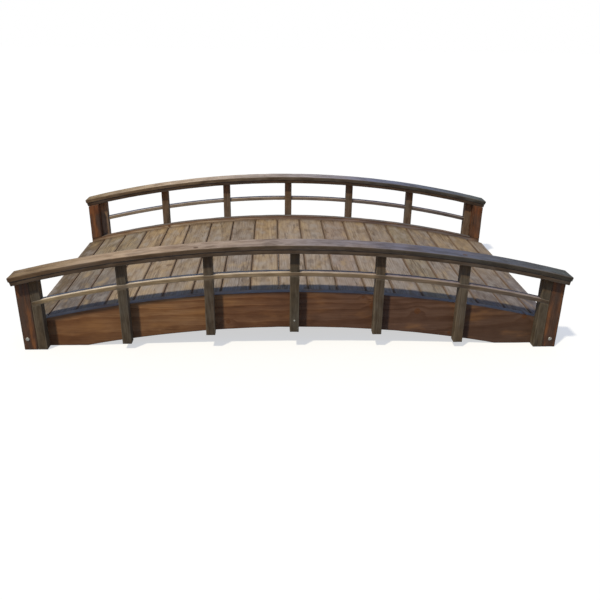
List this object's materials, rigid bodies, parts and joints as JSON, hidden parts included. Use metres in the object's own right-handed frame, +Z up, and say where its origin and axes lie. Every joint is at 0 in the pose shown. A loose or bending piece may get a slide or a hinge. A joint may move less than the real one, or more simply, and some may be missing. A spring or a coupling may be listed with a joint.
{
  "type": "arched garden bridge",
  "caption": "Low arched timber garden bridge: plank deck between sawn arched side beams, with posts, a bent mid rail and a bent two-layer handrail along both sides.",
  "frame": {"origin": "on the ground under the middle of the span, centred between the side beams", "axes": "+X along the span to the right, +Y across the walkway to the back railing, +Z up"},
  "size_m": [2.6478, 1.4922, 0.542],
  "materials": {
    "deck_plank": "weathered sawn softwood, dry and matt",
    "side_beam": "stained sawn softwood, matt",
    "post": "weathered stained softwood, matt",
    "end_post": "red-brown stained softwood with dark streaks, satin",
    "mid_rail": "weathered planed softwood, matt",
    "handrail": "weathered planed softwood, matt",
    "bolt": "hot-dip galvanised, dull"
  },
  "bodies": {
    "root": {"plank_01": "deck_plank", "plank_02": "deck_plank", "plank_03": "deck_plank", "plank_04": "deck_plank", "plank_05": "deck_plank", "plank_06": "deck_plank", "plank_07": "deck_plank", "plank_08": "deck_plank", "plank_09": "deck_plank", "plank_10": "deck_plank", "plank_11": "deck_plank", "plank_12": "deck_plank", "plank_13": "deck_plank", "plank_14": "deck_plank", "plank_15": "deck_plank", "plank_16": "deck_plank", "plank_17": "deck_plank", "plank_18": "deck_plank", "plank_19": "deck_plank", "front_side_beam": "side_beam", "front_bearer": "side_beam", "front_post_1": "post", "front_post_2": "post", "front_post_3": "post", "front_post_4": "post", "front_post_5": "post", "front_post_6": "post", "front_post_7": "post", "front_end_post_left": "end_post", "front_end_post_right": "end_post", "front_mid_rail": "mid_rail", "front_under_rail": "handrail", "front_handrail_cap": "handrail", "back_side_beam": "side_beam", "back_bearer": "side_beam", "back_post_1": "post", "back_post_2": "post", "back_post_3": "post", "back_post_4": "post", "back_post_5": "post", "back_post_6": "post", "back_post_7": "post", "back_end_post_left": "end_post", "back_end_post_right": "end_post", "back_mid_rail": "mid_rail", "back_under_rail": "handrail", "back_handrail_cap": "handrail"}
  },
  "joints": []
}
